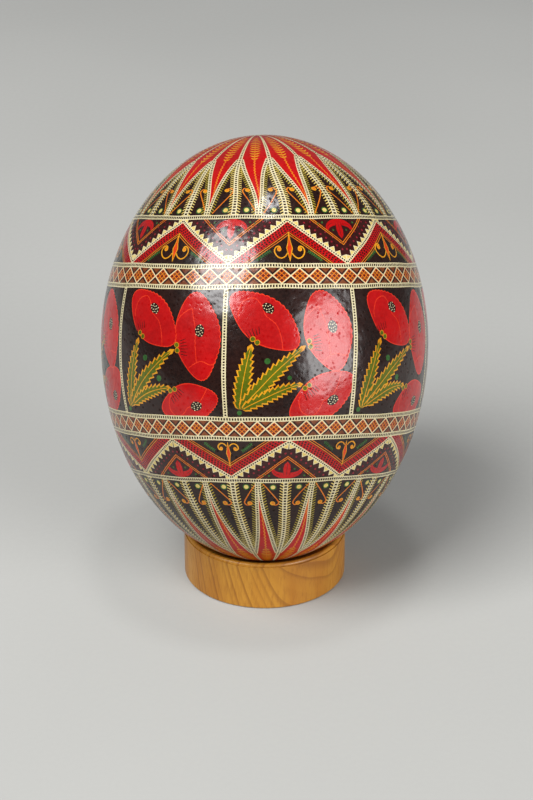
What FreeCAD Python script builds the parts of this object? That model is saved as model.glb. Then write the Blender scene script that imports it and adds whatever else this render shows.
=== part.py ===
import FreeCAD, Part
import math
import os

import Sketcher

# Pysanka: a blown ostrich egg that rests, leaning back, in a turned wooden ring.
# Frame: millimetres, +Z up, -Y towards the viewer. The origin is on the table, under the
# middle of the whole object's box, so the ring stands forward of it and the egg above it.

doc = FreeCAD.newDocument("pysanka")

# ---------------------------------------------------------------- driving dimensions

CELLS = [
    ("egg_radius", "61", "half of the egg's greatest width"),
    ("upper_half", "77.4", "equator to blunt pole, along the egg's own axis"),
    ("lower_half", "81.5", "equator to pointed pole, along the egg's own axis"),
    ("wall", "2", "shell thickness"),
    ("drain_radius", "5", "hole at the pointed pole, through which the egg was blown"),
    ("lean", "23.2", "degrees by which the egg's axis leans back from upright"),
    ("ring_radius", "30.7", "outside of the wooden ring"),
    ("bore_radius", "21.5", "hole through the ring"),
    ("shoulder", "17.8", "top of the plain outer face, under the bead"),
    ("bead_step", "0.4", "how far the bead's foot is set in from the outer face"),
    ("bead_width", "2", "bead, from its outer foot to its inner foot"),
    ("bead_radius", "1.06", "round of the bead, whose crown comes to about 19"),
    ("seat_rim", "18.4", "height at which the dished seat leaves the bead"),
    ("seat_edge", "15.3", "height of the seat's inner edge, on which the egg rests"),
    ("edge_round", "0.6", "softening of the seat's inner edge"),
    ("foot_chamfer", "0.5", "small bevel round the ring's underside"),
    ("seat_gap", "0.3", "clearance kept between the egg and its seat"),
]

# The egg's vertical half height and front-to-back half depth while it leans, the height of its
# centre over the seat's edge, and how far that centre lies behind the ring's centre.
DERIVED = [
    ("half_height", "=sqrt((egg_radius * sin(lean * 1deg))^2 + (lower_half * cos(lean * 1deg))^2)"),
    ("half_depth", "=egg_radius * lower_half / half_height"),
    ("seat_rise", "=half_height * sqrt(1 - (bore_radius / half_depth)^2)"),
    ("lean_shift", "=seat_rise * sin(lean * 1deg) * cos(lean * 1deg)"
                   " * (lower_half^2 - egg_radius^2) / half_height^2"),
    ("front_reach", "=sqrt((egg_radius * cos(lean * 1deg))^2 + (lower_half * sin(lean * 1deg))^2)"),
    ("back_reach", "=sqrt((egg_radius * cos(lean * 1deg))^2 + (upper_half * sin(lean * 1deg))^2)"),
    ("egg_height", "=seat_edge + seat_rise + seat_gap"),
    ("egg_back", "=(front_reach - back_reach) / 2"),
    ("ring_back", "=egg_back - lean_shift"),
]

sizes = doc.addObject("Spreadsheet::Sheet", "Sizes")
row = 0
for alias, value, note in CELLS:
    row += 1
    sizes.set("A%d" % row, value)
    sizes.setAlias("A%d" % row, alias)
    sizes.set("B%d" % row, note)
for alias, formula in DERIVED:
    row += 1
    sizes.set("A%d" % row, formula)
    sizes.setAlias("A%d" % row, alias)
doc.recompute()


# ---------------------------------------------------------------- eggshell

def half_ellipsoid(name, half_cell, inset, upper):
    """One half of an egg form, cut at the equator, shrunk all round by `inset`."""
    half = doc.addObject("Part::Ellipsoid", name)
    half.Angle1 = 0 if upper else -90
    half.Angle2 = 90 if upper else 0
    half.Angle3 = 360
    half.setExpression("Radius1", "Sizes.%s - %s" % (half_cell, inset))
    half.setExpression("Radius2", "Sizes.egg_radius - %s" % inset)
    half.setExpression("Radius3", "Sizes.egg_radius - %s" % inset)
    return half


def egg_form(name, inset):
    """A closed egg: a blunter half above the equator and a more pointed one below it."""
    upper = half_ellipsoid(name + "_upper", "upper_half", inset, True)
    lower = half_ellipsoid(name + "_lower", "lower_half", inset, False)
    form = doc.addObject("Part::Fuse", name)
    form.Base = upper
    form.Tool = lower
    return form


def make_eggshell():
    """The blown shell, with its drain hole, leaning back over the ring."""
    shell = doc.addObject("Part::Cut", "blown_shell")
    shell.Base = egg_form("outside", "0")
    shell.Tool = egg_form("inside", "Sizes.wall")

    drain = doc.addObject("Part::Cylinder", "drain_hole")
    drain.setExpression("Radius", "Sizes.drain_radius")
    drain.setExpression("Height", "4 * Sizes.wall")
    drain.setExpression("Placement.Base.z", "-(Sizes.lower_half + Sizes.wall)")

    egg = doc.addObject("Part::Cut", "eggshell")
    egg.Base = shell
    egg.Tool = drain
    egg.Label = "eggshell"
    egg.Placement.Rotation = FreeCAD.Rotation(FreeCAD.Vector(-1, 0, 0), 1)
    egg.setExpression("Placement.Rotation.Angle", "Sizes.lean * 1deg")
    egg.setExpression("Placement.Base.y", "Sizes.egg_back")
    egg.setExpression("Placement.Base.z", "Sizes.egg_height")
    return egg


# ---------------------------------------------------------------- stand ring

def origin_plane(body, role):
    """One of the body's own origin planes, by its role."""
    for feature in body.Origin.OriginFeatures:
        if feature.Role == role:
            return feature
    raise RuntimeError("no origin plane " + role)


def pin_point(sketch, curve, end, across, up):
    """Fix a profile point's radius and height to two expressions."""
    for kind, expression in (("DistanceX", across), ("DistanceY", up)):
        index = sketch.addConstraint(Sketcher.Constraint(kind, -1, 1, curve, end, 1.0))
        sketch.setExpression("Constraints[%d]" % index, expression)


def make_stand_ring():
    """The ring as it comes off the lathe: one profile turned about the upright axis."""
    body = doc.addObject("PartDesign::Body", "stand_ring")
    body.Label = "stand_ring"
    sketch = body.newObject("Sketcher::SketchObject", "ring_profile")
    sketch.AttachmentSupport = [(origin_plane(body, "XZ_Plane"), "")]
    sketch.MapMode = "FlatFace"

    # The profile's corners in order, as radius and height. Each holds a rough place first
    # and is then bound to the sheet, so the sketch solves without flipping.
    corners = [
        (22, 0, "Sizes.bore_radius + Sizes.foot_chamfer", "0"),
        (30.2, 0, "Sizes.ring_radius - Sizes.foot_chamfer", "0"),
        (30.7, 0.5, "Sizes.ring_radius", "Sizes.foot_chamfer"),
        (30.7, 17.8, "Sizes.ring_radius", "Sizes.shoulder"),
        (30.3, 17.8, "Sizes.ring_radius - Sizes.bead_step", "Sizes.shoulder"),
        (28.3, 18.4, "Sizes.ring_radius - Sizes.bead_step - Sizes.bead_width", "Sizes.seat_rim"),
        (21.5, 15.3, "Sizes.bore_radius", "Sizes.seat_edge"),
        (21.5, 0.5, "Sizes.bore_radius", "Sizes.foot_chamfer"),
    ]
    bead_foot = 4
    bead_crown = FreeCAD.Vector(29.5, 19.0, 0)
    curves = []
    for index, corner in enumerate(corners):
        following = corners[(index + 1) % len(corners)]
        start = FreeCAD.Vector(corner[0], corner[1], 0)
        finish = FreeCAD.Vector(following[0], following[1], 0)
        if index == bead_foot:
            # An arc of circle always runs anticlockwise, from the bead's outer foot to its inner.
            curves.append(sketch.addGeometry(Part.Arc(start, bead_crown, finish), False))
        else:
            curves.append(sketch.addGeometry(Part.LineSegment(start, finish), False))
    for index, curve in enumerate(curves):
        following = curves[(index + 1) % len(curves)]
        sketch.addConstraint(Sketcher.Constraint("Coincident", curve, 2, following, 1))
    for curve, corner in zip(curves, corners):
        pin_point(sketch, curve, 1, corner[2], corner[3])
    radius = sketch.addConstraint(Sketcher.Constraint("Radius", curves[bead_foot], 1.1))
    sketch.setExpression("Constraints[%d]" % radius, "Sizes.bead_radius")

    turned = body.newObject("PartDesign::Revolution", "turned_ring")
    turned.Profile = sketch
    turned.ReferenceAxis = (sketch, ["V_Axis"])
    turned.Angle = 360
    doc.recompute()

    # The lathe tool leaves the seat's inner edge slightly round where the egg bears on it.
    softened = body.newObject("PartDesign::Fillet", "soft_seat_edge")
    softened.Base = (turned, [seat_edge_name(turned.Shape)])
    softened.setExpression("Radius", "Sizes.edge_round")
    body.setExpression("Placement.Base.y", "Sizes.ring_back")
    return body


def seat_edge_name(shape):
    """The name of the circular edge between the dished seat and the bore."""
    for index, edge in enumerate(shape.Edges):
        circle = edge.Curve
        if not isinstance(circle, Part.Circle):
            continue
        at_seat = math.isclose(circle.Center.z, sizes.get("seat_edge"), abs_tol=0.01)
        at_bore = math.isclose(circle.Radius, sizes.get("bore_radius"), abs_tol=0.01)
        if at_seat and at_bore:
            return "Edge%d" % (index + 1)
    raise RuntimeError("seat edge not found")


# ---------------------------------------------------------------- build, check and write

pieces = [make_eggshell(), make_stand_ring()]
doc.recompute()

for thing in doc.Objects:
    if "Invalid" in thing.State or "Error" in thing.State:
        raise RuntimeError("%s failed: %s" % (thing.Name, thing.State))
for piece in pieces:
    if piece.Shape.isNull() or not piece.Shape.isValid():
        raise RuntimeError("%s has no valid shape" % piece.Label)

gap = pieces[0].Shape.distToShape(pieces[1].Shape)[0]
print("gap between egg and seat: %.3f mm" % gap)

os.makedirs("parts", exist_ok=True)
for piece in pieces:
    box = piece.Shape.BoundBox
    print("%s: %.1f x %.1f x %.1f mm, %.1f cm3" % (
        piece.Label, box.XLength, box.YLength, box.ZLength, piece.Shape.Volume / 1000))
    piece.Shape.exportStep("parts/%s.step" % piece.Label)
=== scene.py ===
import math

import bpy
import numpy as np
from mathutils import Matrix, Vector, geometry


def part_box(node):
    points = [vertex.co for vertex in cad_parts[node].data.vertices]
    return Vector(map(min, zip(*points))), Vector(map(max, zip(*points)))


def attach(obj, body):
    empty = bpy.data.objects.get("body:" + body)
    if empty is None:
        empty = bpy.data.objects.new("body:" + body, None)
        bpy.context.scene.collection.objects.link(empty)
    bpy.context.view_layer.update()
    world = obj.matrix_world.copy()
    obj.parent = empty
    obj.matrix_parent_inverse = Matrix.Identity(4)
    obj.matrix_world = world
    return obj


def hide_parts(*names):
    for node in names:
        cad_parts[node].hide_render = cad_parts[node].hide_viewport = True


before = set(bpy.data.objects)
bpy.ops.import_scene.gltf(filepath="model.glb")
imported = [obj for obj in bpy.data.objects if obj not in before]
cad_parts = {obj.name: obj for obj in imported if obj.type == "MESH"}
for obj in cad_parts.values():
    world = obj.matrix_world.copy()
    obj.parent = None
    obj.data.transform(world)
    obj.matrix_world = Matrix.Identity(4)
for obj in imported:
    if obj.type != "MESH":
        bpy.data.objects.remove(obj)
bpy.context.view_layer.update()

MM = 0.001

# A pysanka on an ostrich egg. The ornament is drawn on the unrolled shell: a point there is a
# pair (turn, rise), with turn in degrees of longitude from the left edge of a panel and rise
# in millimetres along the shell from the equator. Each dye becomes one piece of the surface.
# The egg and its ornament are sized in millimetres, the materials and the studio in metres.

# -------- camera

CAMERA_PLACE = Vector((0.0007, -0.8403, 0.4977))
CAMERA_DIP = math.radians(27.2)
SENSOR = 36.0
LENS = 169.0


def add_object(name, data):
    """A new object of the scene."""
    thing = bpy.data.objects.new(name, data)
    bpy.context.scene.collection.objects.link(thing)
    return thing


def make_camera():
    """A long lens that looks down on the egg from in front."""
    camera_data = bpy.data.cameras.new("camera")
    camera_data.sensor_width = SENSOR
    camera_data.sensor_fit = "HORIZONTAL"
    camera_data.lens = LENS
    camera = add_object("camera", camera_data)
    camera.location = CAMERA_PLACE
    camera.rotation_euler = (math.radians(90) - CAMERA_DIP, 0, 0)
    bpy.context.scene.camera = camera


make_camera()

# -------- the egg's form

EGG_RADIUS = 61.0
UPPER_HALF = 77.4
LOWER_HALF = 81.5
LEAN = math.radians(23.2)
WALL = 2.0
DRAIN_RADIUS = 5.0
FIRST_DIVIDER = -13.4

shell_low, shell_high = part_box("eggshell")
top_reach = math.hypot(EGG_RADIUS * math.sin(LEAN), UPPER_HALF * math.cos(LEAN))
front_reach = math.hypot(EGG_RADIUS * math.cos(LEAN), LOWER_HALF * math.sin(LEAN))
EGG_CENTRE = Vector((
    (shell_low[0] + shell_high[0]) / 2,
    shell_low[1] + front_reach * MM,
    shell_high[2] - top_reach * MM))
EGG_TURN = Matrix.Rotation(-LEAN, 3, "X")


def running_total(values, steps):
    """Trapezoid sums of values, starting from nought."""
    middle = (values[1:] + values[:-1]) / 2
    return np.concatenate([[0.0], np.cumsum(middle * steps)])


def latitude_tables():
    """Rise, radius and conformal height against the ellipse's own parameter."""
    angle = np.linspace(-math.pi / 2 + 0.001, math.pi / 2 - 0.001, 8001)
    half = np.where(angle >= 0, UPPER_HALF, LOWER_HALF)
    radius = EGG_RADIUS * np.cos(angle)
    speed = np.hypot(EGG_RADIUS * np.sin(angle), half * np.cos(angle))
    steps = np.diff(angle)
    rise = running_total(speed, steps)
    conformal = running_total(speed / radius, steps) * EGG_RADIUS
    rise -= np.interp(0, angle, rise)
    conformal -= np.interp(0, angle, conformal)
    return angle, rise, radius, conformal


ANGLES, RISES, RADII, CONFORMAL = latitude_tables()


def radius_at(rise):
    """Distance from the egg's axis to the shell at a rise."""
    return float(np.interp(rise, RISES, RADII))


def degree_at(rise):
    """Millimetres along the shell in one degree of turn."""
    return radius_at(rise) * math.pi / 180


def on_shell(turn, rise):
    """Places and outward normals, in the frame and in metres, of arrays of turns and rises."""
    angle = np.interp(rise, RISES, ANGLES)
    half = np.where(angle >= 0, UPPER_HALF, LOWER_HALF)
    longitude = np.radians(turn)
    out = EGG_RADIUS * np.cos(angle)
    place = np.stack([out * np.sin(longitude), -out * np.cos(longitude), half * np.sin(angle)], 1)
    tilt = np.stack([np.cos(angle) / EGG_RADIUS, np.sin(angle) / half], 1)
    tilt /= np.linalg.norm(tilt, axis=1)[:, None]
    normal = np.stack([tilt[:, 0] * np.sin(longitude), -tilt[:, 0] * np.cos(longitude), tilt[:, 1]], 1)
    turned = np.array(EGG_TURN)
    return place @ turned.T * MM + np.array(EGG_CENTRE), normal @ turned.T


STAR_SLIPS = {
    # side: where the star's middle lies from the pole, right and back, in millimetres, and the
    # rises between which the slip sets in
    1: ((-2.7, -2.4), (52.0, 76.0)),
    -1: ((1.5, 0.7), (-52.0, -78.0)),
}


def star_slip(turn, rise, side):
    """The stars were drawn a little off the poles, so everything near a pole moves sideways."""
    (right, back), (first, last) = STAR_SLIPS[side]
    share = np.clip((rise - first) / (last - first), 0, 1)
    share = share * share * (3 - 2 * share)
    pole = RISES[-1] if side > 0 else RISES[0]
    to_pole = np.abs(pole - rise)
    longitude = np.radians(turn)
    x = to_pole * np.sin(longitude) + share * right
    y = -to_pole * np.cos(longitude) + share * back
    slipped_turn = np.degrees(np.arctan2(x, -y))
    slipped_rise = pole - side * np.hypot(x, y)
    return np.where(share > 0, slipped_turn, turn), np.where(share > 0, slipped_rise, rise)


# The wobble of the lines has died away at this rise, near either pole.
WOBBLE_END = 112


def hand_wobble(turn, rise):
    """The slow drift of a hand-drawn line: the same all round wherever two pieces meet."""
    for side in STAR_SLIPS:
        turn, rise = star_slip(turn, rise, side)
    longitude = np.radians(turn)
    taper = np.cos(np.clip(rise / WOBBLE_END, -1, 1) * math.pi / 2) ** 0.5
    up = 0.22 * np.sin(3 * longitude + 0.6) + 0.14 * np.sin(7 * longitude + rise / 17)
    up += 0.07 * np.sin(19 * longitude + rise / 5 + 1.3)
    across = 0.20 * np.sin(2 * longitude + rise / 21) + 0.12 * np.sin(9 * longitude + rise / 9 + 2)
    across += 0.06 * np.sin(23 * longitude + rise / 4)
    return turn + np.degrees(across * taper / EGG_RADIUS), rise + up * taper


# -------- drawing on the unrolled shell

PANEL = 45.0
PANELS = 8
# The side of an outline that is longer than this is divided.
LONGEST_SIDE = 1.8


class Sheet:
    """Shapes laid over one another on one panel's width of the unrolled shell."""

    def __init__(self, number, rises):
        self.number = number
        self.rises = rises
        self.shapes = []

    def lay(self, dye, outline):
        """Lay one closed outline over what is there, if it reaches the sheet at all."""
        turns = [point[0] for point in outline]
        if max(turns) > 0 and min(turns) < PANEL:
            self.shapes.append((dye, finely(outline)))

    def slip(self, turn, which, spread):
        """A small slip of the hand: always the same for the same feature at the same place."""
        key = round((self.number * PANEL + turn) * 4 / PANEL) % (4 * PANELS)
        return spread * math.sin(12.9898 * key + 78.233 * which + 4.1 * math.sin(7.3 * key + which))


def beside(point, across, up):
    """The point that lies some millimetres across and up from another."""
    rise = point[1] + up
    return (point[0] + across / degree_at(rise), rise)


def gap(start, finish):
    """Millimetres across and up on the shell from one point to another."""
    return (finish[0] - start[0]) * degree_at((start[1] + finish[1]) / 2), finish[1] - start[1]


def heading(start, finish):
    """Unit direction on the shell from one point to another, and the distance."""
    across, up = gap(start, finish)
    length = math.hypot(across, up)
    return across / length, up / length, length


def between(start, finish, share):
    """The point a share of the way from one to another."""
    return (start[0] + (finish[0] - start[0]) * share, start[1] + (finish[1] - start[1]) * share)


def finely(outline):
    """The outline with its long sides divided, so that it can follow the curve of the shell."""
    points = []
    for start, finish in zip(outline, outline[1:] + outline[:1]):
        steps = max(1, math.ceil(math.hypot(*gap(start, finish)) / LONGEST_SIDE))
        points += [between(start, finish, step / steps) for step in range(steps)]
    return points


def moved_aside(path, distance):
    """A path moved to its left by a distance, or one distance per point, with mitred corners."""
    moved = []
    last = len(path) - 1
    for index, point in enumerate(path):
        into = heading(path[max(index - 1, 0)], path[max(index, 1)])
        out = heading(path[min(index, last - 1)], path[min(index + 1, last)])
        across = -(into[1] + out[1])
        up = into[0] + out[0]
        fit = 2 / max(across * across + up * up, 0.6)
        reach = distance[index] if isinstance(distance, list) else distance
        moved.append(beside(point, across * fit * reach, up * fit * reach))
    return moved


def strip(sheet, dye, one, other):
    """The strip between two paths of equally many points, laid piece by piece."""
    for index in range(len(one) - 1):
        sheet.lay(dye, [one[index], one[index + 1], other[index + 1], other[index]])


def band(sheet, dye, path, near, far):
    """A strip between two distances to the left of a path."""
    strip(sheet, dye, moved_aside(path, near), moved_aside(path, far))


def stroke(sheet, dye, path, width, end_width=None):
    """A line along a path, which may narrow or widen evenly to its end."""
    last = len(path) - 1
    end_width = end_width or width
    halves = [(width + (end_width - width) * index / last) / 2 for index in range(last + 1)]
    band(sheet, dye, path, [-half for half in halves], halves)


def stations(path, pitch):
    """Evenly spaced points along a path, each with its direction and its share of the way."""
    lengths = [heading(path[i], path[i + 1])[2] for i in range(len(path) - 1)]
    total = sum(lengths)
    count = max(1, round(total / pitch))
    found = []
    for number in range(count):
        left = total * (number + 0.5) / count
        leg = 0
        while leg < len(lengths) - 1 and left > lengths[leg]:
            left -= lengths[leg]
            leg += 1
        start, finish = path[leg], path[leg + 1]
        point = between(start, finish, left / lengths[leg])
        found.append((point, heading(start, finish)[:2], (number + 0.5) / count))
    return found


def leg_stations(path, pitch):
    """Evenly spaced points along each leg of a path by itself, so that equal legs match."""
    for start, finish in zip(path, path[1:]):
        yield from stations([start, finish], pitch)


def placed(point, direction, corners):
    """Corners given along and to the left of a direction, laid down at a point."""
    ahead, up = direction
    return [beside(point, x * ahead - y * up, x * up + y * ahead) for x, y in corners]


def meridian(turn, low, high, steps):
    """A path from one rise to another at one turn."""
    return [(turn, low + (high - low) * step / steps) for step in range(steps + 1)]


def tile(sheet, dye, point, direction, half_long, half_wide, shift=0.0):
    """A small rectangle centred on a point, or shifted from it along its direction."""
    back, front = shift - half_long, shift + half_long
    sheet.lay(dye, placed(point, direction, [
        (back, -half_wide), (front, -half_wide), (front, half_wide), (back, half_wide)]))


def circle(sides):
    """Cosine and sine of each corner of a round shape."""
    angles = [2 * math.pi * side / sides for side in range(sides)]
    return [(math.cos(angle), math.sin(angle)) for angle in angles]


def disc(sheet, dye, point, radius, sides=10):
    """A round dot."""
    sheet.lay(dye, [beside(point, radius * x, radius * y) for x, y in circle(sides)])


def smooth(points, steps=6):
    """A rounded path through a few points."""
    padded = [points[0]] + list(points) + [points[-1]]
    path = []
    for index in range(1, len(padded) - 2):
        a, b, c, d = padded[index - 1:index + 3]
        for step in range(steps):
            t = step / steps
            path.append(tuple(
                0.5 * (2 * b[k] + (c[k] - a[k]) * t + (2 * a[k] - 5 * b[k] + 4 * c[k] - d[k]) * t ** 2
                       + (3 * b[k] - a[k] - 3 * c[k] + d[k]) * t ** 3)
                for k in (0, 1)))
    path.append(points[-1])
    return path


def rippled(path, height):
    """A path whose points step aside to the left and right in turn."""
    return moved_aside(path, [height * (-1) ** index for index in range(len(path))])


THINNEST_RUNG = 0.1


def ladder(sheet, path, width, line, pitch, end_width=None):
    """Two ivory lines with a row of dark squares between them."""
    end_width = end_width or width
    stroke(sheet, "ivory", path, width, end_width)
    reach = pitch * 0.3
    for point, direction, share in stations(path, pitch):
        half = (width + (end_width - width) * share) / 2 - line
        if half > THINNEST_RUNG:
            tile(sheet, "black", point, direction, reach, half)


def barbs(sheet, dye, path, start, reach, pitch):
    """Slanting strokes along one side of a path, pointing back along it."""
    side = 1 if start > 0 else -1
    thick = 0.42 * pitch
    for point, direction, _ in stations(path, pitch):
        sheet.lay(dye, placed(point, direction, [
            (thick / 2, start - 0.2 * side), (-thick / 2, start - 0.2 * side),
            (-0.7 * reach - 0.1, start + side * reach), (0.3 - 0.7 * reach, start + side * reach)]))


# -------- rings

RING_A = 49.0
RING_B = 30.1
RING_C = 22.6
RING_D = -24.3
RING_E = -31.6
RING_F = -48.4
RING_WIDTH = 1.7
RING_HALF = RING_WIDTH / 2
RING_LINE = 0.39


def ring_of_rungs(sheet, rise):
    """A ladder that runs right round the egg, one square to each degree."""
    path = [(turn, rise) for turn in range(-2, 48)]
    stroke(sheet, "ivory", path, RING_WIDTH)
    for turn in range(-1, 46):
        tile(sheet, "black", (turn + 0.5, rise), (1, 0), 0.3, RING_HALF - RING_LINE)


# -------- diamond bands

def diamond_row(sheet, low_ring, high_ring, count):
    """Diamonds checked three by three, edged in ivory, with half triangles above and below."""
    low = low_ring + RING_HALF
    high = high_ring - RING_HALF
    middle = (low + high) / 2
    tall = (high - low) / 2
    pitch = PANEL / count
    sheet.lay("black", [(-1, low_ring), (PANEL + 1, low_ring), (PANEL + 1, high_ring), (-1, high_ring)])
    for number in range(-1, count + 1):
        centre = number * pitch
        notch = centre + pitch / 2
        for side, base in ((1, high), (-1, low)):
            for dye, wide, deep in (("maroon", 0.44, 0.88), ("umber", 0.3, 0.6)):
                sheet.lay(dye, [(notch - pitch * wide, base), (notch + pitch * wide, base),
                                (notch, base - side * tall * deep)])
        left = (centre - pitch / 2, middle)
        foot = (centre, low)
        top = (centre, high)
        sheet.lay("orange", [left, foot, (notch, middle), top])
        for row in range(3):
            for column in range(3):
                check = []
                for along, across in ((0.12, 0.12), (0.88, 0.12), (0.88, 0.88), (0.12, 0.88)):
                    u = 0.06 + (column + along) * 0.88 / 3
                    v = 0.06 + (row + across) * 0.88 / 3
                    check.append((left[0] + (foot[0] - left[0]) * u + (top[0] - left[0]) * v,
                                  left[1] + (foot[1] - left[1]) * u + (top[1] - left[1]) * v))
                sheet.lay("crimson" if (row + column) % 2 == 0 else "umber", check)
    for first in (1, -1):
        path = [(number * pitch, middle + first * tall * (-1) ** number) for number in range(-2, count + 3)]
        stroke(sheet, "ivory", path, 0.38)


# -------- zigzag bands

ZIGZAG_TALL = 17.2
# Distances from the zigzag: towards the equator, the red strip, its rows of strokes and two
# orange lines; towards the pole, rows of dots, each with its pitch and the dots' radius.
RED_STRIP = (0.5, 3.5)
STROKE_ROWS = (1.15, 2.0, 2.85)
ORANGE_LINES = ((3.75, 4.05), (4.5, 4.75))
DOT_ROWS = ((3.2, 2.3, 0.4), (5.0, 3.4, 0.3))
STROKE_PITCH = 1.25
RUNG_PITCH = 0.9
TOOTH = 2.75
FLEUR_CURL = [(0.9, 4.1), (1.9, 2.7), (3.5, 2.0), (5.1, 2.8), (6.0, 4.6), (5.5, 6.2), (4.3, 6.8), (3.5, 6.2)]


def zigzag_band(sheet, inner_ring, outer_ring, start, fleur_size):
    """A toothed ladder that zigzags between two rings, with a fleur or a half rosette in each bay.

    The inner ring is the one nearer the equator; start is the turn of a bay that opens outward.
    """
    side = 1 if outer_ring > inner_ring else -1
    inner = inner_ring + side * RING_HALF
    tall = abs(outer_ring - inner_ring) - RING_WIDTH
    squeeze = tall / ZIGZAG_TALL

    def spot(turn, across, height):
        """A place in a bay, by millimetres across from a turn and height over the inner ring."""
        return beside((turn, inner), across, side * height * squeeze)

    path = []
    for leg in range(-3, 6):
        path.append(spot(start + leg * PANEL / 2, 0, ZIGZAG_TALL - 0.4 if leg % 2 else 0.4))
    for leg in range(0, 8, 2):
        sheet.lay("maroon", path[leg:leg + 3])

    band(sheet, "red", path, *(-side * away for away in RED_STRIP))
    for row, away in enumerate(STROKE_ROWS):
        for point, direction, _ in leg_stations(moved_aside(path, -side * away), STROKE_PITCH):
            tile(sheet, "garnet", point, direction, 0.36, 0.32, 0.28 * (row - 1))
    for near, far in ORANGE_LINES:
        band(sheet, "orange", path, -side * near, -side * far)

    # The ladder and, on its pole side, the sawteeth.
    half = TOOTH / 2
    for point, direction, _ in leg_stations(moved_aside(path, side * 0.5), TOOTH):
        sheet.lay("ivory", placed(point, direction, [(-half, 0), (half, 0), (0, side * 1.8)]))
        sheet.lay("straw", placed(point, direction, [
            (-half * 0.76, side * 0.1), (half * 0.76, side * 0.1), (0, side * 1.36)]))
    band(sheet, "ivory", path, -side * 0.62, side * 0.62)
    for point, direction, _ in leg_stations(path, RUNG_PITCH):
        tile(sheet, "black", point, direction, 0.27, 0.3)

    # Dots that follow the sawteeth, and a looser row behind them, clear of both rings.
    for away, pitch, radius in DOT_ROWS:
        for point, _, _ in leg_stations(moved_aside(path, side * away), pitch):
            height = side * (point[1] - inner) / squeeze
            if 3.5 < height < ZIGZAG_TALL - 0.9:
                disc(sheet, "berry", point, radius, 8)

    for bay in (-2, -1, 0, 1, 2):
        turn = start + bay * PANEL / 2
        if bay % 2:
            fleur(sheet, spot, turn, fleur_size * (1 + sheet.slip(turn, 1, 0.05)))
        else:
            half_rosette(sheet, spot, turn)


def fleur(sheet, spot, turn, size):
    """A spear between two curls, with a green sprig each side of it."""
    curl_size = size ** 1.5

    def drawn(corners, hand=1):
        return [spot(turn, hand * across * size, height) for across, height in corners]

    spear = [(0.14, 12.0), (0.34, 9.8), (0.62, 7.8), (1.2, 5.7), (0.6, 3.2), (0.0, 0.5)]
    blade = [(0.0, 10.2), (0.34, 7.9), (0.86, 5.7), (0.4, 3.6), (0.0, 1.7)]
    for dye, edge in (("yellow", spear), ("orange_red", blade)):
        sheet.lay(dye, drawn(edge) + drawn(edge[-2::-1], -1))
    for hand in (1, -1):
        grow = 1 + sheet.slip(turn, 2 + hand, 0.07)
        curl = [spot(turn, hand * across * grow * curl_size, height * curl_size)
                for across, height in smooth(FLEUR_CURL, 4)]
        stroke(sheet, "yellow", curl, 0.42, 0.5)
        blob = spot(turn, hand * 4.1 * grow * curl_size, 5.6 * curl_size)
        disc(sheet, "yellow", blob, 0.85 * size)
        disc(sheet, "orange", blob, 0.48 * size, 8)
        sprig = smooth(drawn([(7.0, 4.5), (9.2, 3.2), (12.4, 0.9)], hand), 4)
        stroke(sheet, "green", sprig, 0.26)
        for point, direction, _ in stations(sprig, 0.75):
            for leaning in (1, -1):
                sheet.lay("green", placed(point, direction, [
                    (-0.1, 0), (0.16, 0), (-0.3, leaning * 0.7), (-0.55, leaning * 0.62)]))


def half_rosette(sheet, spot, turn):
    """Two orange lines in a V and, under the ring, a red crescent over one hanging petal."""

    def drawn(corners):
        return [spot(turn, across, height) for across, height in corners]

    def arc(wide, base, deep):
        angles = [math.pi * step / 12 for step in range(13)]
        return drawn([(wide * math.cos(angle), base + deep * math.sin(angle)) for angle in angles])

    for outside, apex in ((10.8, 6.9), (9.8, 7.8)):
        line = [spot(turn, -outside, 17.2), spot(turn, 0, apex), spot(turn, outside, 17.2)]
        stroke(sheet, "orange", line, 0.28)
    grow = 1 + sheet.slip(turn, 5, 0.05)
    outer, middle, inner = arc(5.9 * grow, 13.0, 4.1), arc(5.3 * grow, 12.9, 2.9), arc(4.7 * grow, 12.7, 1.8)
    strip(sheet, "red", outer, inner)
    petal = drawn([(1.1, 15.6), (1.35, 12.6), (1.05, 10.6), (0, 9.2),
                   (-1.05, 10.6), (-1.35, 12.6), (-1.1, 15.6)])
    sheet.lay("red", petal)
    for line, width in ((petal, 0.16), (drawn([(0, 15.4), (0, 10.2)]), 0.2),
                        (middle[1:5], 0.18), (middle[8:12], 0.18)):
        stroke(sheet, "crimson", line, width)
    for hand in (1, -1):
        for across, height, radius in ((2.7, 12.6, 0.4), (6.4, 15.7, 0.42), (8.2, 15.4, 0.32)):
            disc(sheet, "green", spot(turn, hand * across, height), radius, 8)


# -------- poppy panels

# Places are millimetres right and up from the middle of a panel. A flower has its centre, half
# length, half width, tilt, stem joint, seed head, the direction of its hatching and its folds.
# A leaf has its root, a point on the way, its tip, half its width and its teeth on each side.
EVEN_FLOWERS = [
    ((-9.7, 10.3), 13.9, 7.7, -38, (-13.1, 3.5), (-8.2, 14.9), 112, "front"),
    ((13.2, 6.6), 14.1, 8.5, -75, (6.4, 2.1), (14.8, 8.3), 8, "split"),
    ((11.7, -16.2), 13.0, 7.3, 33, (5.5, -12.9), (15.4, -17.9), -52, "front"),
]
EVEN_LEAVES = [
    ((-17.8, -20.8), (-16.4, -8.5), (-14.2, 2.5), 2.3, 10),
    ((-17.4, -20.6), (-6.6, -8.8), (5.0, 1.6), 2.25, 13),
    ((-16.9, -20.8), (-5.8, -14.8), (4.0, -11.9), 1.75, 11),
]
EVEN_DOTS = [((-8.6, -4.1), 1.05), ((-0.6, -9.5), 0.8), ((-17.9, -22.0), 0.9)]
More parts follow.
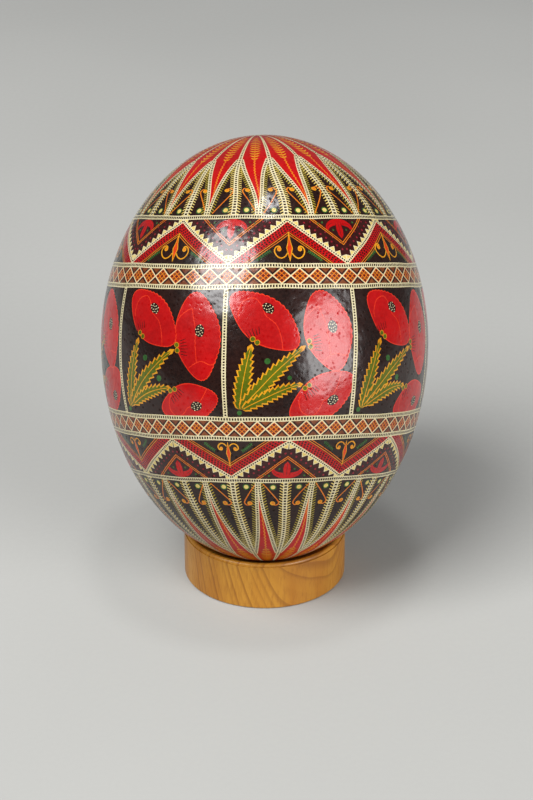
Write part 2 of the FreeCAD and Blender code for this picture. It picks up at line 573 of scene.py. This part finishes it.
ODD_FLOWERS = [
    ((-6.2, 10.9), 13.0, 7.9, -40, (-10.9, 5.2), (-4.7, 14.7), 112, "front"),
    ((14.0, 5.2), 14.75, 8.1, -84, (6.0, 1.0), (14.9, 7.1), 4, "split"),
    ((9.1, -19.3), 11.2, 6.8, 14, (3.2, -14.2), (12.4, -19.9), -50, "front"),
]
ODD_LEAVES = [
    ((-18.9, -21.2), (-16.2, -8.3), (-12.2, 4.2), 1.95, 11),
    ((-18.4, -20.4), (-7.4, -8.4), (5.0, 0.4), 2.1, 12),
    ((-16.9, -19.9), (-6.4, -14.9), (2.6, -13.5), 1.7, 10),
]
ODD_DOTS = [((-8.6, -2.8), 1.1), ((-2.4, -9.9), 1.1), ((-20.0, -22.0), 0.9)]
DRAWINGS = ((EVEN_FLOWERS, EVEN_LEAVES, EVEN_DOTS), (ODD_FLOWERS, ODD_LEAVES, ODD_DOTS))

# Folds, in half lengths and half widths from a flower's middle, the stem being on the low side.
FOLDS = {
    "front": [[(-0.54, -0.62), (-0.66, -0.40), (-0.72, 0.12), (-0.54, 0.55), (-0.28, 0.46), (-0.07, 0.23),
               (0.25, 0.20), (0.47, 0.0), (0.67, -0.31), (0.78, -0.52)]],
    "split": [[(-0.35, -0.92), (-0.52, -0.68), (-0.66, -0.17), (-0.52, -0.10), (-0.16, -0.02),
               (0.16, -0.08), (0.60, -0.14)],
              [(0.72, -0.56), (0.62, -0.20), (0.60, 0.12), (0.70, 0.44), (0.70, 0.66)]],
}


def poppy(sheet, at, centre, half_length, half_width, tilt, joint, seed, hatch, folds):
    """One broad flower: a scalloped outline, lighter fold lines, a seed head and hatching."""
    lean = math.radians(tilt)
    ahead = (math.cos(lean), math.sin(lean))
    toward = (joint[0] - centre[0], joint[1] - centre[1])
    side = toward[1] * ahead[0] - toward[0] * ahead[1]
    stem_side = 1 if side > 0 else -1
    along = toward[0] * ahead[0] + toward[1] * ahead[1]
    joint_angle = math.atan2(side / half_width, along / half_length)

    def along_flower(origin, x, y):
        """A place by millimetres along and across the flower from an origin."""
        return at(origin[0] + x * ahead[0] - y * ahead[1], origin[1] + x * ahead[1] + y * ahead[0])

    def petal_edge(inset):
        """The outline; its scallops fade out towards the stem."""
        edge = []
        for step in range(168):
            angle = 2 * math.pi * step / 168
            away = 0.5 - 0.5 * math.cos(angle - joint_angle)
            scallop = 1 + 0.045 * away ** 1.5 * abs(math.sin(21 * angle))
            size = (1 + 0.04 * math.cos(4 * angle)) * scallop
            edge.append(along_flower(centre, (half_length - inset) * size * math.cos(angle),
                                     (half_width - inset) * size * math.sin(angle)))
        return edge

    for dye, inset in (("coral", 0), ("red", 0.34)):
        sheet.lay(dye, petal_edge(inset))
    for fold in FOLDS[folds]:
        line = smooth([(u * half_length, -v * stem_side * half_width) for u, v in fold], 6)
        stroke(sheet, "coral", rippled([along_flower(centre, *point) for point in line], 0.07), 0.27)

    # Hatching beside the stem joint: short strokes side by side that fan out a little.
    strokes = 6
    out = math.radians(hatch)
    for line in range(strokes):
        aside = line - (strokes - 1) / 2
        angle = out - 0.10 * aside
        base = (joint[0] + 1.5 * math.cos(out) + 0.95 * aside * math.sin(out),
                joint[1] + 1.5 * math.sin(out) - 0.95 * aside * math.cos(out))
        long = 2.9 - 0.2 * abs(aside) + 0.3 * math.sin(3 * line)
        tip = (base[0] + long * math.cos(angle), base[1] + long * math.sin(angle))
        stroke(sheet, "black", [at(*base), at(*tip)], 0.3, 0.16)

    # The seed head: a dark oval strewn with pale anthers.
    sheet.lay("black", [along_flower(seed, 2.3 * x, 1.75 * y) for x, y in circle(16)])
    anthers = 14
    for anther in range(anthers):
        angle = 2.4 * anther + tilt
        reach = math.sqrt((anther + 0.7) / anthers)
        place = along_flower(seed, 2.2 * reach * math.cos(angle), 1.65 * reach * math.sin(angle))
        disc(sheet, "ivory", place, 0.22, 7)


def calyx(sheet, at, joint, tilt):
    """Two small green sepals, edged in yellow, where a leaf meets its flower."""
    lean = math.radians(tilt)
    for hand in (1.0, -1.0):
        place = at(joint[0] + hand * math.cos(lean), joint[1] + hand * math.sin(lean))
        disc(sheet, "yellow", place, 0.98, 12)
        disc(sheet, "leaf", place, 0.78, 12)


def leaf(sheet, at, root, mid, tip, half_width, teeth):
    """A long serrated leaf: yellow edge, green body and a pale vein."""
    bend = (2 * mid[0] - (root[0] + tip[0]) / 2, 2 * mid[1] - (root[1] + tip[1]) / 2)

    def spine(share):
        """A point on the leaf's middle line and the line's direction there."""
        keep = 1 - share
        point = tuple(keep * keep * root[k] + 2 * keep * share * bend[k] + share * share * tip[k]
                      for k in (0, 1))
        slope = tuple(2 * keep * (bend[k] - root[k]) + 2 * share * (tip[k] - bend[k]) for k in (0, 1))
        length = math.hypot(*slope)
        return point, (slope[0] / length, slope[1] / length)

    def beside_spine(side, share, wide):
        """A point so far to one side of the middle line."""
        (x, y), (ahead, up) = spine(min(share, 1.0))
        return (x - side * up * wide, y + side * ahead * wide)

    def tooth_row(side, count, inset, reach):
        """Notches and sharp teeth that hook towards the tip."""
        row = []
        for tooth in range(count):
            share = (tooth + 0.3) / (teeth + 0.9)
            slim = 1 - share ** 3.5
            swell = half_width * (0.3 + 0.7 * math.sin(math.pi * (0.08 + share * 0.9)) ** 0.6) * slim
            row.append(beside_spine(side, share, max(swell - inset, 0.1)))
            share = (tooth + 1.25 - 0.2 * inset) / (teeth + 0.9)
            row.append(beside_spine(side, share, max(swell - inset, 0.1) + reach * slim))
        return row

    edge = ("yellow", teeth, 1.0, 0, 1.15)
    body = ("leaf", teeth - 1, 0.96, 0.5, 0.9)
    for dye, count, end, inset, reach in (edge, body):
        left, right = tooth_row(-1, count, inset, reach), tooth_row(1, count, inset, reach)
        outline = [root] + left + [spine(end)[0]] + right[::-1]
        sheet.lay(dye, [at(*point) for point in outline])
    vein = [at(*spine(0.02 + 0.95 * step / 8)[0]) for step in range(9)]
    stroke(sheet, "yellow", vein, 0.34, 0.2)


def poppy_panel(sheet):
    """Three poppies on three leaves between two ladders; each panel was drawn a little otherwise."""
    hand = np.random.default_rng(40 + sheet.number)
    flowers, leaves, dots = DRAWINGS[sheet.number % 2]

    def at(across, up):
        return beside((PANEL / 2, up), across, 0)

    for root, mid, tip, half_width, teeth in leaves:
        leaf(sheet, at, root, tuple(np.array(mid) + hand.normal(0, 0.3, 2)), tip, half_width, teeth)
    for place, radius in dots:
        disc(sheet, "green", at(*(np.array(place) + hand.normal(0, 0.3, 2))), radius, 12)
    for flower in flowers[::-1]:
        centre, half_length, half_width, tilt, joint, seed, hatch, folds = flower
        grow = 1 + hand.normal(0, 0.015)
        moved = tuple(np.array(centre) + hand.normal(0, 0.25, 2))
        poppy(sheet, at, moved, half_length * grow, half_width * grow, tilt + hand.normal(0, 1.5),
              joint, seed, hatch, folds)
    for flower in flowers:
        calyx(sheet, at, flower[4], flower[3])
    for edge in (0, PANEL):
        ladder(sheet, [(edge, RING_D), (edge, 0), (edge, RING_C)], 1.6, 0.45, 1.0)


# -------- stars round the poles

SPOKE = PANEL / 2
HOOK = [(1.3, 0.6), (2.9, 3.4), (4.8, 7.0), (6.2, 10.0), (6.4, 11.6), (5.5, 12.7), (4.5, 12.5)]


def star(sheet, ring, widest, pole, flare, hook_height, lead):
    """Sixteen red kites that meet at a pole, with dark ladder-edged points between them.

    Flare is how late a kite widens, hook_height shortens the hooks between the kites, and lead
    is how far before its widest place a kite's ear of grain begins.
    """
    side = 1 if pole > ring else -1
    foot = ring + side * RING_HALF
    half_span = degree_at(widest) * SPOKE / 2

    def edge(kite, hand):
        """One long edge of a kite, whose tip on the ring was not always drawn quite in the middle."""
        path = []
        for step in range(15):
            share = step / 14
            rise = foot + (widest - foot) * share
            tip_slip = sheet.slip(kite, 7, 0.7) * (1 - share)
            path.append(beside((kite, rise), tip_slip + hand * half_span * (0.09 + 0.81 * share ** flare), 0))
        return path

    kites = [SPOKE * (number + 0.5) for number in (-1, 0, 1, 2)]
    halves = [(kite, hand) for kite in kites for hand in (1, -1)]
    spokes = [SPOKE * number for number in (0, 1, 2)]

    # Barbs first, so that everything else lies over their roots.
    for spoke in spokes:
        for hand in (1, -1):
            barbs(sheet, "straw", meridian(spoke, foot, widest, 8)[:8], hand * 0.85, 1.3, 1.2)
    for kite, hand in halves:
        barbs(sheet, "olive", edge(kite, hand)[:13], -hand * side * 0.6, 1.35, 1.2)

    # Hooks with a bead at the end, and a green-haloed dot, in each half point.
    for kite, hand in halves:
        grow = 1 + 0.08 * hand + sheet.slip(kite, 8 + hand, 0.06)
        hook = smooth([beside((kite, foot), hand * x * grow, side * y * hook_height) for x, y in HOOK], 5)
        stroke(sheet, "orange", hook, 0.36, 0.46)
        bead = beside((kite, foot), hand * 4.3 * grow, side * 11.7 * hook_height)
        disc(sheet, "yellow", bead, 0.95)
        disc(sheet, "orange", beside(bead, 0.1, 0.1), 0.5, 8)
        dot = beside((kite, foot), hand * 5.2 * grow + sheet.slip(kite, 11 + hand, 0.4), side * 1.9)
        disc(sheet, "green", dot, 1.25, 14)
        disc(sheet, "straw", dot, 0.85, 12)

    for kite in kites:
        strip(sheet, "red", edge(kite, -1), edge(kite, 1))
        sides = [meridian(kite + hand * SPOKE / 2, widest, pole, 6) for hand in (-1, 1)]
        strip(sheet, "red", *sides)
        wheat_ear(sheet, kite, foot, widest - side * lead, side)

    for kite, hand in halves:
        ladder(sheet, edge(kite, hand), 1.25, 0.33, 1.05, 1.45)
    for spoke in spokes:
        ladder(sheet, meridian(spoke, foot, widest, 8), 1.9, 0.42, 1.25, 1.4)
        ladder(sheet, meridian(spoke, widest, pole, 10), 1.5, 0.38, 1.15, 0.3)


def wheat_ear(sheet, kite, foot, start, side):
    """An ear of grain pairs on a thin wavy stem, along the middle of a kite."""
    stem = [(kite, foot + (start - foot) * (0.2 + 0.8 * step / 30)) for step in range(31)]
    stroke(sheet, "orange", rippled(stem, 0.22), 0.34, 0.5)
    pitch, pairs = 1.75, 12
    for pair in range(pairs):
        rise = start + side * pitch * pair
        room = degree_at(rise + side * 1.4) * SPOKE / 2 - 0.9
        reach = min(2.1, 1.4 + 0.4 * pair, room)
        if reach < 0.35:
            break
        grain = [(0, 0), (reach * 0.55, 0.25), (reach, 1.3), (reach * 0.5, 1.0), (0, 0.7)]
        for hand in (1, -1):
            sheet.lay("yellow", [beside((kite, rise), hand * across, side * up) for across, up in grain])
    spine = [(kite, start + side * pitch * pair) for pair in range(pairs)]
    stroke(sheet, "orange", spine, 0.42, 0.12)


# -------- from sheets to surface

# The pole itself can't be unrolled, so the top sheet stops where the shell has this radius.
TOP_HOLE = 0.05
# The pitch of the points that carry the shell's curve between the drawn shapes.
GRID = 2.2
# Corners that come nearer than this, in metres, become one.
MERGE = 2e-6


def rise_at_radius(radius, lower):
    """The rise at which the shell has a given radius, below or above the equator."""
    half = RISES < 0 if lower else RISES >= 0
    order = 1 if lower else -1
    return float(np.interp(radius, RADII[half][::order], RISES[half][::order]))


def flat_place(turn, rise):
    """Conformal coordinates of an unrolled point, so that small shapes keep their form."""
    return Vector((math.radians(turn) * EGG_RADIUS, float(np.interp(rise, RISES, CONFORMAL))))


def signed_area(outline):
    """Twice the area of a flat outline, positive when it runs anticlockwise."""
    return sum(a.x * b.y - b.x * a.y for a, b in zip(outline, outline[1:] + outline[:1]))


def filler_points(sheet):
    """A loose grid inside a sheet, and matching points along its edges."""
    inside, border = [], []
    low, high = sheet.rises
    rises = [low]
    while rises[-1] < high - GRID * 0.6:
        rises.append(rises[-1] + min(GRID, 0.35 * radius_at(rises[-1]) + 0.2))
    rises[-1] = high
    for row, rise in enumerate(rises[1:-1]):
        count = max(3, round(PANEL * degree_at(rise) / GRID))
        shift = 0.5 if row % 2 else 1.0
        for column in range(count):
            if 0.4 < column + shift < count - 0.4:
                inside.append((PANEL * (column + shift) / count, rise))
    steps = int(PANEL)
    border += [(PANEL * step / steps, low) for step in range(steps)]
    border += [(PANEL, rise) for rise in rises[:-1]]
    border += [(PANEL - PANEL * step / steps, high) for step in range(steps)]
    border += [(0.0, rise) for rise in rises[:0:-1]]
    return inside, border


def partition(sheet):
    """Cut a sheet into triangles that each show one dye: the last shape laid there."""
    inside, border = filler_points(sheet)
    places, faces = [], []
    dyes = ["black"] + [dye for dye, outline in sheet.shapes]
    for outline in [border] + [outline for dye, outline in sheet.shapes]:
        flat = [flat_place(*point) for point in outline]
        if signed_area(flat) < 0:
            flat.reverse()
        faces.append(list(range(len(places), len(places) + len(flat))))
        places += flat
    places += [flat_place(*point) for point in inside]
    found = geometry.delaunay_2d_cdt(places, [], faces, 0, 1e-4, True)
    corners = np.array([tuple(place) for place in found[0]])
    turn = np.degrees(corners[:, 0] / EGG_RADIUS)
    rise = np.interp(corners[:, 1], CONFORMAL, RISES)
    by_dye = {}
    for corner_ids, shape_ids in zip(found[2], found[5]):
        if 0 in shape_ids:
            by_dye.setdefault(dyes[max(shape_ids)], []).append(corner_ids)
    return turn, rise, by_dye


def make_mesh(name, places, normals):
    """A smooth-shaded mesh from loose triangles, with shared corners merged."""
    key = np.round(places / MERGE).astype(np.int64)
    _, first, inverse = np.unique(key, axis=0, return_index=True, return_inverse=True)
    triangles = inverse.reshape(-1, 3)
    triangles = triangles[(triangles != np.roll(triangles, 1, axis=1)).all(axis=1)]
    mesh = bpy.data.meshes.new(name)
    mesh.vertices.add(len(first))
    mesh.vertices.foreach_set("co", places[first].astype(np.float32).ravel())
    mesh.loops.add(triangles.size)
    mesh.loops.foreach_set("vertex_index", triangles.astype(np.int32).ravel())
    mesh.polygons.add(len(triangles))
    mesh.polygons.foreach_set("loop_start", np.arange(0, triangles.size, 3, dtype=np.int32))
    mesh.update(calc_edges=True)
    mesh.validate()
    mesh.shade_smooth()
    mesh.normals_split_custom_set_from_vertices(normals[first])
    return mesh


def new_piece(name, mesh, body, material):
    """An object for a mesh, riding on a body and finished in a material slot's stuff."""
    piece = add_object(name, mesh)
    mesh.materials.append(material)
    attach(piece, body)
    return piece


def banded_sheet(number, rings, start, fleur_size, diamonds):
    """A zigzag band and a row of diamonds, and their three rings, given from the pole side."""
    outer, middle, inner = rings
    sheet = Sheet(number, (min(rings) - RING_HALF, max(rings) + RING_HALF))
    zigzag_band(sheet, middle, outer, start, fleur_size)
    diamond_row(sheet, min(middle, inner), max(middle, inner), diamonds)
    for ring in sorted(rings, reverse=True):
        ring_of_rungs(sheet, ring)
    return sheet


def sheets_of_sector(number):
    """The five sheets of one panel's width, from the blunt pole down to the drain hole."""
    pole = rise_at_radius(TOP_HOLE, False)
    top = Sheet(number, (RING_A + RING_HALF, pole))
    star(top, RING_A, 80.0, pole, 1.45, 1.0, 0.6)

    upper = banded_sheet(number, (RING_A, RING_B, RING_C), 0, 1.0, 7)
    panel = Sheet(number, (RING_D + RING_HALF, RING_C - RING_HALF))
    poppy_panel(panel)

    lower = banded_sheet(number, (RING_F, RING_E, RING_D), PANEL / 2, 0.72, 8)
    drain = rise_at_radius(DRAIN_RADIUS, True)
    bottom = Sheet(number, (drain, RING_F - RING_HALF))
    star(bottom, RING_F, -89.5, drain, 1.4, 0.78, 4.5)
    return top, upper, panel, lower, bottom


def ornament():
    """Every sheet cut and laid round the egg: for each dye, the corners of its triangles."""
    by_dye = {}
    for number in range(PANELS):
        left_edge = FIRST_DIVIDER + number * PANEL
        for sheet in sheets_of_sector(number):
            turn, rise, triangles_of = partition(sheet)
            places, normals = on_shell(*hand_wobble(turn + left_edge, rise))
            for dye, triangles in triangles_of.items():
                index = np.array(triangles).reshape(-1)
                by_dye.setdefault(dye, []).append((places[index], normals[index]))
    return by_dye


# -------- materials

def linear(red, green, blue, depth=1.0):
    """A colour given as screen values from 0 to 255, for a shader, and darkened by a share."""
    channels = []
    for value in (red, green, blue):
        share = value / 255
        light = share / 12.92 if share <= 0.04045 else ((share + 0.055) / 1.055) ** 2.4
        channels.append(light * depth)
    return (*channels, 1.0)


class Nodes:
    """A small helper that adds nodes to a material and links them by name."""

    def __init__(self, name):
        self.material = bpy.data.materials.new(name)
        self.material.use_nodes = True
        self.tree = self.material.node_tree
        self.shader = self.tree.nodes["Principled BSDF"]
        self.places = self.add("ShaderNodeTexCoord").outputs["Object"]

    def add(self, kind, inputs=None, **settings):
        """A new node with its settings made and its inputs fed."""
        node = self.tree.nodes.new(kind)
        for name, setting in settings.items():
            setattr(node, name, setting)
        for name, value in (inputs or {}).items():
            self.feed(node.inputs[name], value)
        return node

    def feed(self, socket, value):
        """Link a socket if the value is another node's output, and set it if it is a value."""
        if isinstance(value, bpy.types.NodeSocket):
            self.tree.links.new(value, socket)
        else:
            socket.default_value = value

    def shade(self, **looks):
        """Feed the shader's own sockets; an underscore stands for the space in a socket's name."""
        for name, value in looks.items():
            self.feed(self.shader.inputs[name.replace("_", " ")], value)

    def math(self, operation, *values):
        return self.add("ShaderNodeMath", dict(enumerate(values)), operation=operation).outputs[0]

    def axes(self):
        """A place's distances along X, Y and Z."""
        return self.add("ShaderNodeSeparateXYZ", {"Vector": self.places}).outputs

    def noise(self, scale, detail=3.0, rough=0.5, places=None):
        inputs = {"Vector": places or self.places, "Scale": scale, "Detail": detail, "Roughness": rough}
        return self.add("ShaderNodeTexNoise", inputs).outputs["Fac"]

    def cells(self, scale):
        inputs = {"Vector": self.places, "Scale": scale}
        return self.add("ShaderNodeTexVoronoi", inputs).outputs["Distance"]

    def span(self, value, low, high, to_low=0.0, to_high=1.0):
        """A value's range stretched over another range, with rounded ends."""
        inputs = {"Value": value, "From Min": low, "From Max": high, "To Min": to_low, "To Max": to_high}
        return self.add("ShaderNodeMapRange", inputs, interpolation_type="SMOOTHSTEP").outputs["Result"]

    def blend(self, share, first, second):
        """The first colour, with a share of the second mixed in."""
        inputs = {"Factor": share, 6: first, 7: second}
        return self.add("ShaderNodeMix", inputs, data_type="RGBA").outputs[2]

    def bump(self, height, depth, under=None):
        """Dents of a depth, on top of another bump if there is one."""
        inputs = {"Distance": depth, "Height": height}
        if under is not None:
            inputs["Normal"] = under
        return self.add("ShaderNodeBump", inputs).outputs["Normal"]


def varnished_dye(name, deep, plain, worn):
    """Dye on a pitted shell under gloss varnish, which is worn thin low down, near the stand.

    The pits take more of the deep tone, dent the shell a little and break the gloss.
    """
    nodes = Nodes(name)
    cloud = nodes.span(nodes.noise(70, 4, 0.6), 0.36, 0.66)
    grain = nodes.span(nodes.noise(900, 3, 0.6), 0.35, 0.68)
    pit = nodes.span(nodes.cells(500), 0.10, 0.34, 1.0, 0.0)
    tone = nodes.blend(cloud, plain, deep)
    tone = nodes.blend(nodes.math("MULTIPLY", grain, 0.35), tone, worn)
    tone = nodes.blend(nodes.math("MULTIPLY", pit, 0.45), tone, deep)
    swell = nodes.bump(nodes.noise(190, 2, 0.45), 0.00027)
    dimpled = nodes.bump(nodes.math("SUBTRACT", 1.0, pit), 0.000025, swell)
    gloss = nodes.span(nodes.axes()["Z"], 0.015, 0.075, 0.3, 0.95)
    broken = nodes.math("MULTIPLY_ADD", pit, -0.7, 1.0)
    nodes.shade(Base_Color=tone, Roughness=nodes.span(grain, 0, 1, 0.34, 0.46), Normal=dimpled,
                Specular_IOR_Level=0.05, Coat_Weight=nodes.math("MULTIPLY", gloss, broken),
                Coat_Roughness=0.19, Coat_IOR=1.45, Coat_Normal=dimpled)
    return nodes.material


# How deep the dyes look under the varnish, as a share of their plain swatches.
DYE_DEPTH = 0.65
DYES = {
    # dye: its deep, plain and worn tones
    "black": ((20, 4, 1), (32, 8, 3), (50, 20, 8)),
    "maroon": ((34, 5, 4), (48, 9, 6), (70, 22, 14)),
    "umber": ((84, 34, 12), (120, 60, 24), (146, 86, 42)),
    "garnet": ((36, 3, 4), (52, 5, 6), (74, 12, 10)),
    "crimson": ((70, 4, 6), (98, 9, 8), (122, 22, 16)),
    "berry": ((108, 10, 22), (134, 20, 36), (156, 44, 58)),
    "red": ((160, 0, 2), (184, 1, 3), (196, 12, 9)),
    "coral": ((208, 30, 10), (222, 50, 18), (230, 78, 40)),
    "orange_red": ((188, 42, 2), (206, 58, 4), (216, 84, 20)),
    "orange": ((200, 92, 4), (216, 118, 16), (226, 142, 42)),
    "yellow": ((200, 126, 4), (218, 148, 18), (226, 172, 52)),
    "straw": ((202, 170, 76), (216, 192, 106), (226, 208, 142)),
    "olive": ((140, 120, 24), (166, 146, 44), (184, 168, 78)),
    "leaf": ((64, 80, 0), (88, 98, 2), (110, 118, 14)),
    "green": ((30, 74, 26), (44, 94, 36), (72, 118, 56)),
    "ivory": ((204, 190, 142), (220, 207, 164), (228, 219, 190)),
}


def turned_wood():
    """Satin-varnished pale hardwood, cut well off centre from a log that leant as it grew.

    The growth rings are cylinders round a tilted pith line behind the ring's left side, so they
    show as upright lines on the left and as tall upward arches on the right of the front.
    """
    nodes = Nodes("turned_wood")
    low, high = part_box("stand_ring")
    centre_x, centre_y = (low[0] + high[0]) / 2, (low[1] + high[1]) / 2
    arch = math.radians(42)
    pith_away, pith_tilt, ring_pitch = 0.065, 0.23, 0.0016

    axes = nodes.axes()
    reach = nodes.math("MULTIPLY_ADD", axes["Z"], pith_tilt, pith_away)
    from_pith = 0.0
    for axis, centre, share in (("X", centre_x, math.sin(arch)), ("Y", centre_y, -math.cos(arch))):
        leg = nodes.math("MULTIPLY_ADD", reach, share, nodes.math("SUBTRACT", axes[axis], centre))
        from_pith = nodes.math("ADD", from_pith, nodes.math("POWER", leg, 2.0))
    from_pith = nodes.math("SQRT", from_pith)
    stretched = nodes.add("ShaderNodeMapping", {"Vector": nodes.places, "Scale": (1.0, 1.0, 0.16)},
                          vector_type="POINT")
    along = stretched.outputs["Vector"]
    drift = nodes.math("MULTIPLY", nodes.noise(45, 1, 0.5, along), 0.0036)
    grown = nodes.math("DIVIDE", nodes.math("ADD", from_pith, drift), ring_pitch)
    years = nodes.math("FRACT", grown)
    vigour = nodes.add("ShaderNodeTexNoise", {"W": grown, "Scale": 0.55}, noise_dimensions="1D")
    strength = nodes.span(vigour.outputs["Fac"], 0.36, 0.66, 0.12, 0.95)
    late = nodes.math("MULTIPLY", nodes.span(years, 0.25, 0.92), nodes.span(years, 0.92, 1.0, 1.0, 0.0))
    late = nodes.math("MULTIPLY", late, strength)
    fibre = nodes.noise(1300, 4, 0.65, along)
    figure = nodes.noise(60, 3, 0.6, along)
    tone = nodes.blend(nodes.span(figure, 0.32, 0.68), linear(167, 117, 36), linear(147, 93, 21))
    tone = nodes.blend(nodes.math("MULTIPLY", late, 0.64), tone, linear(107, 58, 8))
    streaks = nodes.math("MULTIPLY", nodes.span(fibre, 0.46, 0.72), 0.42)
    tone = nodes.blend(streaks, tone, linear(117, 68, 13))
    grain = nodes.bump(late, 0.00003, nodes.bump(fibre, 0.00005))
    nodes.shade(Base_Color=tone, Roughness=nodes.span(fibre, 0.3, 0.7, 0.38, 0.52), Normal=grain,
                Specular_IOR_Level=0.3, Coat_Weight=0.2, Coat_Roughness=0.25)
    return nodes.material


def bare_shell():
    """Undyed shell, as it shows inside and round the drain hole."""
    nodes = Nodes("bare_shell")
    speck = nodes.span(nodes.cells(430), 0.05, 0.3, 1.0, 0.0)
    cloud = nodes.span(nodes.noise(120, 3), 0.3, 0.7)
    tone = nodes.blend(cloud, linear(236, 226, 200), linear(222, 208, 176))
    tone = nodes.blend(nodes.math("MULTIPLY", speck, 0.4), tone, linear(188, 168, 130))
    matt = nodes.span(nodes.noise(600, 2), 0.3, 0.7, 0.5, 0.65)
    nodes.shade(Base_Color=tone, Roughness=matt, Normal=nodes.bump(speck, 0.00008))
    return nodes.material


def pale_floor():
    """A plain matt studio floor whose colour is darkened into painted shade from half a metre away."""
    nodes = Nodes("pale_floor")
    cloud = nodes.span(nodes.noise(3, 2), 0.3, 0.7)
    tone = nodes.blend(cloud, linear(157, 157, 154), linear(152, 152, 149))
    away = nodes.add("ShaderNodeVectorMath", {0: nodes.places}, operation="LENGTH").outputs["Value"]
    # Painted shade: the floor's colour darkens from 0.5 m to 1.6 m out, standing in for light that falls off.
    tone = nodes.blend(nodes.span(away, 0.5, 1.6), tone, linear(92, 92, 92))
    nodes.shade(Base_Color=tone, Roughness=nodes.span(nodes.noise(400, 2), 0.3, 0.7, 0.7, 0.8))
    return nodes.material


# -------- the pieces

def make_ornament():
    """One piece of the shell's surface for each dye."""
    for dye, chunks in ornament().items():
        places, normals = (np.concatenate(part) for part in zip(*chunks))
        name = "dye_" + dye
        material = varnished_dye(name, *(linear(*tone, DYE_DEPTH) for tone in DYES[dye]))
        new_piece(name, make_mesh(name, places, normals), "egg", material)


def make_shell():
    """The closed shell under the dyes: outside, inside and the wall of the drain hole."""
    skin = 0.05
    around = 96
    rows = 72
    last_row_radius = 0.5
    top = rise_at_radius(last_row_radius, False)
    drain = rise_at_radius(DRAIN_RADIUS, True)
    turns = np.arange(around) * 360 / around
    places, faces, poles = [], [], []
    for inset in (skin, WALL):
        for rise in np.linspace(drain, top, rows):
            spots, normals = on_shell(turns, np.full(around, rise))
            places.append(spots - normals * inset * MM)
    for inset in (skin, WALL):
        spots, normals = on_shell(np.zeros(1), np.full(1, RISES[-1]))
        poles.append(2 * rows * around + len(poles))
        places.append(spots - normals * inset * MM)
    for step in range(around):
        beyond = (step + 1) % around
        for row in range(rows - 1):
            outer, following = row * around, (row + 1) * around
            faces.append((outer + step, outer + beyond, following + beyond, following + step))
            inner, deeper = (rows + row) * around, (rows + row + 1) * around
            faces.append((inner + beyond, inner + step, deeper + step, deeper + beyond))
        outer_top, inner_top = (rows - 1) * around, (2 * rows - 1) * around
        faces.append((outer_top + step, outer_top + beyond, poles[0]))
        faces.append((inner_top + beyond, inner_top + step, poles[1]))
        faces.append((beyond, step, rows * around + step, rows * around + beyond))
    mesh = bpy.data.meshes.new("shell_wall")
    mesh.from_pydata(np.concatenate(places).tolist(), [], faces)
    mesh.validate()
    mesh.shade_smooth()
    piece = new_piece("shell_wall", mesh, "egg", bare_shell())
    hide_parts("eggshell")


def finish_ring():
    """The wooden ring is the design's own shape, in turned wood."""
    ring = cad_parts["stand_ring"]
    wood = turned_wood()
    for slot in ring.material_slots:
        slot.material = wood
    if not ring.material_slots:
        ring.data.materials.append(wood)


def make_floor():
    """The floor that the ring stands on."""
    mesh = bpy.data.meshes.new("floor")
    reach = 4.0
    mesh.from_pydata([(-reach, -reach, 0), (reach, -reach, 0), (reach, reach, 0), (-reach, reach, 0)],
                     [], [(0, 1, 2, 3)])
    mesh.materials.append(pale_floor())
    add_object("floor", mesh)


def soft_light(name, direction, distance, size, power):
    """A square softbox that faces the egg."""
    lamp = bpy.data.lights.new(name, "AREA")
    lamp.shape = "SQUARE"
    lamp.size = size
    lamp.energy = power
    light = add_object(name, lamp)
    light.location = EGG_CENTRE + Vector(direction).normalized() * distance
    light.rotation_euler = (light.location - EGG_CENTRE).to_track_quat("Z", "Y").to_euler()


def make_lights():
    """A large key from the upper left, a broad weak fill from the right and a little from above."""
    soft_light("key", (-0.45, -0.42, 0.78), 2.6, 1.5, 113.0)
    soft_light("fill", (0.70, -0.67, 0.30), 2.5, 1.5, 71.0)
    soft_light("overhead", (0.04, 0.06, 1.0), 1.5, 0.22, 4.3)
    world = bpy.data.worlds.new("studio")
    world.use_nodes = True
    background = world.node_tree.nodes["Background"]
    background.inputs["Color"].default_value = (0.95, 0.97, 1.0, 1.0)
    background.inputs["Strength"].default_value = 0.17
    bpy.context.scene.world = world
    bpy.context.scene.view_settings.view_transform = "Standard"


make_shell()
make_ornament()
finish_ring()
make_floor()
make_lights()
